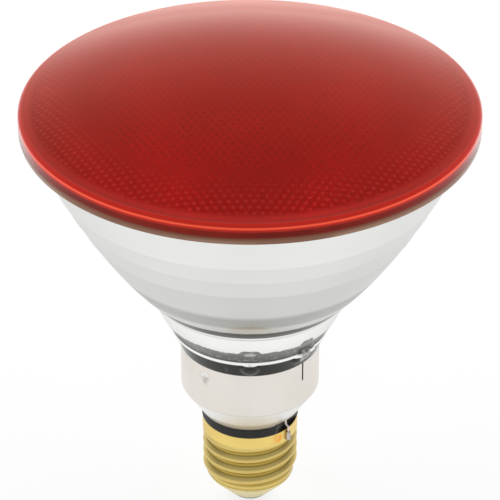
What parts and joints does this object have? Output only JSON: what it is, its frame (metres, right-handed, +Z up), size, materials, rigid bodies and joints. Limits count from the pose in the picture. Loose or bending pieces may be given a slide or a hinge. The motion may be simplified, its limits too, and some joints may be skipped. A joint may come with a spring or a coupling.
{
  "type": "infrared heat lamp bulb",
  "caption": "Reflector heat lamp with a domed red glass lens, a silvered glass bowl, an aluminium skirt and a brass screw cap.",
  "frame": {"origin": "the tip of the centre contact, on the lamp's axis", "axes": "+Z up the lamp's axis from the cap to the middle of the lens, -Y towards the side that the picture shows"},
  "size_m": [0.121, 0.121, 0.136],
  "materials": {
    "red_glass": "deep red pressed glass, smooth outside and stippled inside",
    "clear_glass": "clear pressed glass with a mirror coating of aluminium on the bowl's inside",
    "ferrule_metal": "dull metal cup sealed to the glass",
    "post_metal": "bright nickel-plated wire",
    "bridge_ceramic": "matt white ceramic",
    "filament_metal": "dull grey coiled wire",
    "skirt_aluminium": "satin drawn sheet",
    "black_ring": "matt black, glossier on the moulded flat",
    "cap_brass": "bright rolled brass sheet",
    "cream_insulator": "smooth cream insulating compound",
    "contact_metal": "dull tinned metal",
    "solder": "dull solder",
    "lead_wire": "bright drawn wire"
  },
  "bodies": {
    "root": {"front_lens": "red_glass", "reflector": "clear_glass", "exhaust_tube": "clear_glass", "ferrule_side": "ferrule_metal", "ferrule_centre": "ferrule_metal", "lead_post_side": "post_metal", "lead_post_centre": "post_metal", "post_bridge": "bridge_ceramic", "filament_hook": "post_metal", "filament": "filament_metal", "cap_skirt": "skirt_aluminium", "insulating_ring": "black_ring", "screw_shell": "cap_brass", "base_insulator": "cream_insulator", "centre_contact": "contact_metal", "contact_solder": "solder", "centre_lead": "lead_wire", "side_lead": "lead_wire", "side_solder": "solder"}
  },
  "joints": []
}
